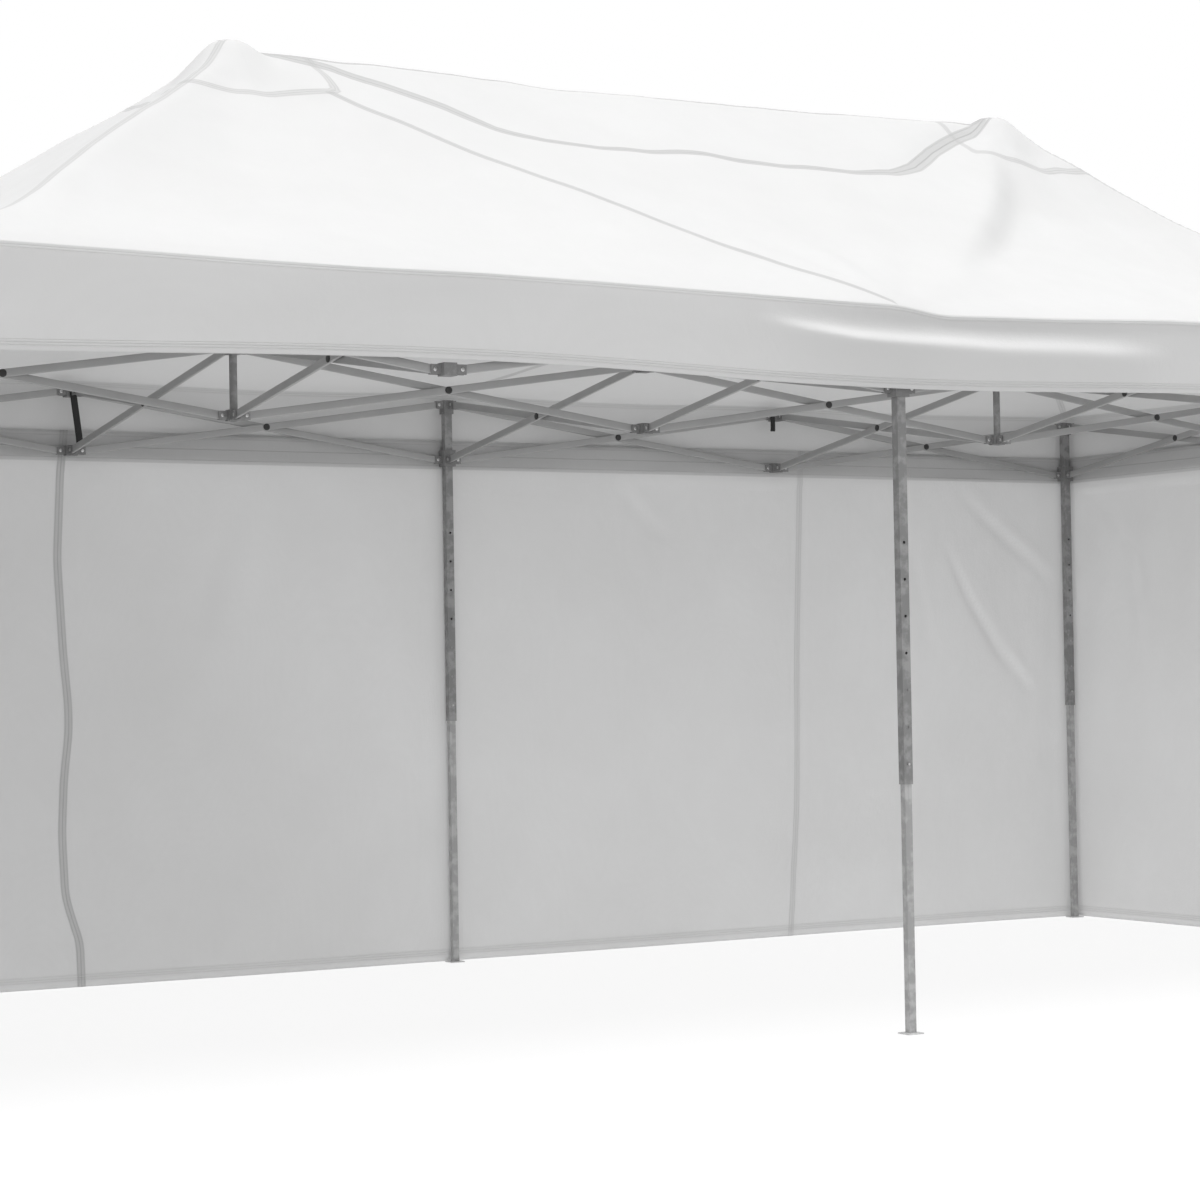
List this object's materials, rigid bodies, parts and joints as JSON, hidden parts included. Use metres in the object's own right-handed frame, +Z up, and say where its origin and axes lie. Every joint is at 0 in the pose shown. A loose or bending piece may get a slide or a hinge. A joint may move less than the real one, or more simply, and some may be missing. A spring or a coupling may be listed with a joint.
{
  "type": "pop up gazebo",
  "caption": "Rectangular folding gazebo with two roof peaks on a scissor-truss frame, telescopic legs, a straight valance, and side walls on three sides.",
  "frame": {"origin": "on the ground, under the middle of the plan", "axes": "+Z up, +X along the long side, -Y towards the open front"},
  "size_m": [6.09, 3.09, 3.092],
  "materials": {
    "grey_tube": "satin grey powder coat over square steel tube",
    "zinc_tube": "lighter satin grey coat over square steel tube, with rub marks",
    "truss_bar": "satin grey powder coat over rectangular steel tube",
    "king_post": "satin grey powder coat over round steel tube with plastic connectors",
    "bracket_plastic": "moulded black nylon",
    "button_plastic": "moulded dark grey plastic",
    "snap_steel": "bright zinc-plated steel",
    "roof_fabric": "white coated polyester, plain weave",
    "wall_fabric": "white polyester, plain weave"
  },
  "bodies": {
    "centre": {"joint_centre": "bracket_plastic", "truss_middle": "truss_bar", "truss_ridge": "truss_bar"},
    "leg_front_left": {"outer_leg_front_left": "grey_tube", "top_bracket_front_left": "bracket_plastic"},
    "leg_front_middle": {"outer_leg_front_middle": "grey_tube", "top_bracket_front_middle": "bracket_plastic", "truss_front": "truss_bar"},
    "leg_front_right": {"outer_leg_front_right": "grey_tube", "top_bracket_front_right": "bracket_plastic"},
    "leg_back_left": {"outer_leg_back_left": "grey_tube", "top_bracket_back_left": "bracket_plastic"},
    "leg_back_middle": {"outer_leg_back_middle": "grey_tube", "top_bracket_back_middle": "bracket_plastic", "truss_back": "truss_bar", "wall_back": "wall_fabric"},
    "leg_back_right": {"outer_leg_back_right": "grey_tube", "top_bracket_back_right": "bracket_plastic"},
    "mid_front_left": {"joint_front_left": "bracket_plastic"},
    "mid_front_right": {"joint_front_right": "bracket_plastic"},
    "mid_back_left": {"joint_back_left": "bracket_plastic"},
    "mid_back_right": {"joint_back_right": "bracket_plastic"},
    "end_left": {"joint_left_end": "bracket_plastic", "truss_left_end": "truss_bar", "wall_left": "wall_fabric"},
    "post_left": {"king_post_left": "king_post", "truss_cross_left": "truss_bar"},
    "end_right": {"joint_right_end": "bracket_plastic", "truss_right_end": "truss_bar", "wall_right": "wall_fabric"},
    "post_right": {"king_post_right": "king_post", "truss_cross_right": "truss_bar"},
    "canopy_front_strip": {"canopy_front": "roof_fabric"},
    "canopy_ridge_front_strip": {"canopy_ridge_front": "roof_fabric"},
    "canopy_ridge_back_strip": {"canopy_ridge_back": "roof_fabric"},
    "canopy_back_strip": {"canopy_back": "roof_fabric"},
    "slider_front_left": {"slider_front_left": "bracket_plastic"},
    "release_front_left": {"release_button_front_left": "button_plastic"},
    "foot_front_left": {"inner_leg_front_left": "zinc_tube"},
    "snap_front_left": {"snap_button_front_left": "snap_steel"},
    "slider_front_middle": {"slider_front_middle": "bracket_plastic"},
    "release_front_middle": {"release_button_front_middle": "button_plastic"},
    "foot_front_middle": {"inner_leg_front_middle": "zinc_tube"},
    "snap_front_middle": {"snap_button_front_middle": "snap_steel"},
    "slider_front_right": {"slider_front_right": "bracket_plastic"},
    "release_front_right": {"release_button_front_right": "button_plastic"},
    "foot_front_right": {"inner_leg_front_right": "zinc_tube"},
    "snap_front_right": {"snap_button_front_right": "snap_steel"},
    "slider_back_left": {"slider_back_left": "bracket_plastic"},
    "release_back_left": {"release_button_back_left": "button_plastic"},
    "foot_back_left": {"inner_leg_back_left": "zinc_tube"},
    "snap_back_left": {"snap_button_back_left": "snap_steel"},
    "slider_back_middle": {"slider_back_middle": "bracket_plastic"},
    "release_back_middle": {"release_button_back_middle": "button_plastic"},
    "foot_back_middle": {"inner_leg_back_middle": "zinc_tube"},
    "snap_back_middle": {"snap_button_back_middle": "snap_steel"},
    "slider_back_right": {"slider_back_right": "bracket_plastic"},
    "release_back_right": {"release_button_back_right": "button_plastic"},
    "foot_back_right": {"inner_leg_back_right": "zinc_tube"},
    "snap_back_right": {"snap_button_back_right": "snap_steel"}
  },
  "joints": [
    {"name": "fold", "type": "slide", "parent": "centre", "child": "leg_back_middle", "axis": [0, -1, 0], "range_m": [0, 1.35], "deforming": ["truss_front", "truss_back", "truss_ridge", "truss_middle", "truss_left_end", "truss_right_end", "truss_cross_left", "truss_cross_right", "wall_back", "wall_left", "wall_right", "canopy_front", "canopy_ridge_front", "canopy_ridge_back", "canopy_back"]},
    {"name": "leg_front_left_fold", "type": "slide", "parent": "centre", "child": "leg_front_left", "axis": [0.8944, 0.4472, 0], "range_m": [0, 3.0227]},
    {"name": "leg_front_middle_fold", "type": "slide", "parent": "centre", "child": "leg_front_middle", "axis": [0, 1, 0], "range_m": [0, 1.3523]},
    {"name": "leg_front_right_fold", "type": "slide", "parent": "centre", "child": "leg_front_right", "axis": [-0.8944, 0.4472, 0], "range_m": [0, 3.0227]},
    {"name": "leg_back_left_fold", "type": "slide", "parent": "centre", "child": "leg_back_left", "axis": [0.8944, -0.4472, 0], "range_m": [0, 3.0227]},
    {"name": "leg_back_right_fold", "type": "slide", "parent": "centre", "child": "leg_back_right", "axis": [-0.8944, -0.4472, 0], "range_m": [0, 3.0227]},
    {"name": "mid_front_left_fold", "type": "slide", "parent": "centre", "child": "mid_front_left", "axis": [0.7071, 0.7071, 0], "range_m": [0, 1.9121]},
    {"name": "mid_front_right_fold", "type": "slide", "parent": "centre", "child": "mid_front_right", "axis": [-0.7071, 0.7071, 0], "range_m": [0, 1.9121]},
    {"name": "mid_back_left_fold", "type": "slide", "parent": "centre", "child": "mid_back_left", "axis": [0.7071, -0.7071, 0], "range_m": [0, 1.9121]},
    {"name": "mid_back_right_fold", "type": "slide", "parent": "centre", "child": "mid_back_right", "axis": [-0.7071, -0.7071, 0], "range_m": [0, 1.9121]},
    {"name": "end_left_fold", "type": "slide", "parent": "centre", "child": "end_left", "axis": [1, 0, 0], "range_m": [0, 2.7037]},
    {"name": "post_left_fold", "type": "slide", "parent": "centre", "child": "post_left", "axis": [1, 0, 0], "range_m": [0, 1.3523]},
    {"name": "end_right_fold", "type": "slide", "parent": "centre", "child": "end_right", "axis": [-1, 0, 0], "range_m": [0, 2.7037]},
    {"name": "post_right_fold", "type": "slide", "parent": "centre", "child": "post_right", "axis": [-1, 0, 0], "range_m": [0, 1.3523]},
    {"name": "canopy_front_strip_fold", "type": "slide", "parent": "centre", "child": "canopy_front_strip", "axis": [0, 1, 0], "range_m": [0, 1.0449]},
    {"name": "canopy_ridge_front_strip_fold", "type": "slide", "parent": "centre", "child": "canopy_ridge_front_strip", "axis": [0, 1, 0], "range_m": [0, 0.349]},
    {"name": "canopy_ridge_back_strip_fold", "type": "slide", "parent": "centre", "child": "canopy_ridge_back_strip", "axis": [0, -1, 0], "range_m": [0, 0.349]},
    {"name": "canopy_back_strip_fold", "type": "slide", "parent": "centre", "child": "canopy_back_strip", "axis": [0, -1, 0], "range_m": [0, 1.0449]},
    {"name": "slider_front_left_drop", "type": "slide", "parent": "leg_front_left", "child": "slider_front_left", "axis": [0, 0, -1], "range_m": [0, 0.881]},
    {"name": "release_front_left_press", "type": "slide", "parent": "slider_front_left", "child": "release_front_left", "axis": [0, 1, 0], "range_m": [0, 0.0025], "stiffness_N_per_m": 600},
    {"name": "inner_leg_front_left_slide", "type": "slide", "parent": "leg_front_left", "child": "foot_front_left", "axis": [0, 0, 1], "range_m": [0, 0.66]},
    {"name": "snap_front_left_press", "type": "slide", "parent": "foot_front_left", "child": "snap_front_left", "axis": [0, 1, 0], "range_m": [0, 0.004], "stiffness_N_per_m": 600},
    {"name": "slider_front_middle_drop", "type": "slide", "parent": "leg_front_middle", "child": "slider_front_middle", "axis": [0, 0, -1], "range_m": [0, 0.881]},
    {"name": "release_front_middle_press", "type": "slide", "parent": "slider_front_middle", "child": "release_front_middle", "axis": [0, 1, 0], "range_m": [0, 0.0025], "stiffness_N_per_m": 600},
    {"name": "inner_leg_front_middle_slide", "type": "slide", "parent": "leg_front_middle", "child": "foot_front_middle", "axis": [0, 0, 1], "range_m": [0, 0.66]},
    {"name": "snap_front_middle_press", "type": "slide", "parent": "foot_front_middle", "child": "snap_front_middle", "axis": [0, 1, 0], "range_m": [0, 0.004], "stiffness_N_per_m": 600},
    {"name": "slider_front_right_drop", "type": "slide", "parent": "leg_front_right", "child": "slider_front_right", "axis": [0, 0, -1], "range_m": [0, 0.881]},
    {"name": "release_front_right_press", "type": "slide", "parent": "slider_front_right", "child": "release_front_right", "axis": [0, 1, 0], "range_m": [0, 0.0025], "stiffness_N_per_m": 600},
    {"name": "inner_leg_front_right_slide", "type": "slide", "parent": "leg_front_right", "child": "foot_front_right", "axis": [0, 0, 1], "range_m": [0, 0.66]},
    {"name": "snap_front_right_press", "type": "slide", "parent": "foot_front_right", "child": "snap_front_right", "axis": [0, 1, 0], "range_m": [0, 0.004], "stiffness_N_per_m": 600},
    {"name": "slider_back_left_drop", "type": "slide", "parent": "leg_back_left", "child": "slider_back_left", "axis": [0, 0, -1], "range_m": [0, 0.881]},
    {"name": "release_back_left_press", "type": "slide", "parent": "slider_back_left", "child": "release_back_left", "axis": [0, -1, 0], "range_m": [0, 0.0025], "stiffness_N_per_m": 600},
    {"name": "inner_leg_back_left_slide", "type": "slide", "parent": "leg_back_left", "child": "foot_back_left", "axis": [0, 0, 1], "range_m": [0, 0.66]},
    {"name": "snap_back_left_press", "type": "slide", "parent": "foot_back_left", "child": "snap_back_left", "axis": [0, 1, 0], "range_m": [0, 0.004], "stiffness_N_per_m": 600},
    {"name": "slider_back_middle_drop", "type": "slide", "parent": "leg_back_middle", "child": "slider_back_middle", "axis": [0, 0, -1], "range_m": [0, 0.881]},
    {"name": "release_back_middle_press", "type": "slide", "parent": "slider_back_middle", "child": "release_back_middle", "axis": [0, -1, 0], "range_m": [0, 0.0025], "stiffness_N_per_m": 600},
    {"name": "inner_leg_back_middle_slide", "type": "slide", "parent": "leg_back_middle", "child": "foot_back_middle", "axis": [0, 0, 1], "range_m": [0, 0.66]},
    {"name": "snap_back_middle_press", "type": "slide", "parent": "foot_back_middle", "child": "snap_back_middle", "axis": [0, 1, 0], "range_m": [0, 0.004], "stiffness_N_per_m": 600},
    {"name": "slider_back_right_drop", "type": "slide", "parent": "leg_back_right", "child": "slider_back_right", "axis": [0, 0, -1], "range_m": [0, 0.881]},
    {"name": "release_back_right_press", "type": "slide", "parent": "slider_back_right", "child": "release_back_right", "axis": [0, -1, 0], "range_m": [0, 0.0025], "stiffness_N_per_m": 600},
    {"name": "inner_leg_back_right_slide", "type": "slide", "parent": "leg_back_right", "child": "foot_back_right", "axis": [0, 0, 1], "range_m": [0, 0.66]},
    {"name": "snap_back_right_press", "type": "slide", "parent": "foot_back_right", "child": "snap_back_right", "axis": [0, 1, 0], "range_m": [0, 0.004], "stiffness_N_per_m": 600}
  ],
  "couplings": [
    {"joint": "leg_front_left_fold", "follows": "fold", "ratio": 2.2361},
    {"joint": "leg_front_middle_fold", "follows": "fold", "ratio": 1},
    {"joint": "leg_front_right_fold", "follows": "fold", "ratio": 2.2361},
    {"joint": "leg_back_left_fold", "follows": "fold", "ratio": 2.2361},
    {"joint": "leg_back_right_fold", "follows": "fold", "ratio": 2.2361},
    {"joint": "mid_front_left_fold", "follows": "fold", "ratio": 1.4142},
    {"joint": "mid_front_right_fold", "follows": "fold", "ratio": 1.4142},
    {"joint": "mid_back_left_fold", "follows": "fold", "ratio": 1.4142},
    {"joint": "mid_back_right_fold", "follows": "fold", "ratio": 1.4142},
    {"joint": "end_left_fold", "follows": "fold", "ratio": 2},
    {"joint": "post_left_fold", "follows": "fold", "ratio": 1},
    {"joint": "end_right_fold", "follows": "fold", "ratio": 2},
    {"joint": "post_right_fold", "follows": "fold", "ratio": 1},
    {"joint": "canopy_front_strip_fold", "follows": "fold", "ratio": 0.7725},
    {"joint": "canopy_ridge_front_strip_fold", "follows": "fold", "ratio": 0.2575},
    {"joint": "canopy_ridge_back_strip_fold", "follows": "fold", "ratio": 0.2575},
    {"joint": "canopy_back_strip_fold", "follows": "fold", "ratio": 0.7725},
    {"joint": "slider_front_left_drop", "follows": "fold", "ratio": 0.65185},
    {"joint": "slider_front_middle_drop", "follows": "fold", "ratio": 0.65185},
    {"joint": "slider_front_right_drop", "follows": "fold", "ratio": 0.65185},
    {"joint": "slider_back_left_drop", "follows": "fold", "ratio": 0.65185},
    {"joint": "slider_back_middle_drop", "follows": "fold", "ratio": 0.65185},
    {"joint": "slider_back_right_drop", "follows": "fold", "ratio": 0.65185}
  ]
}
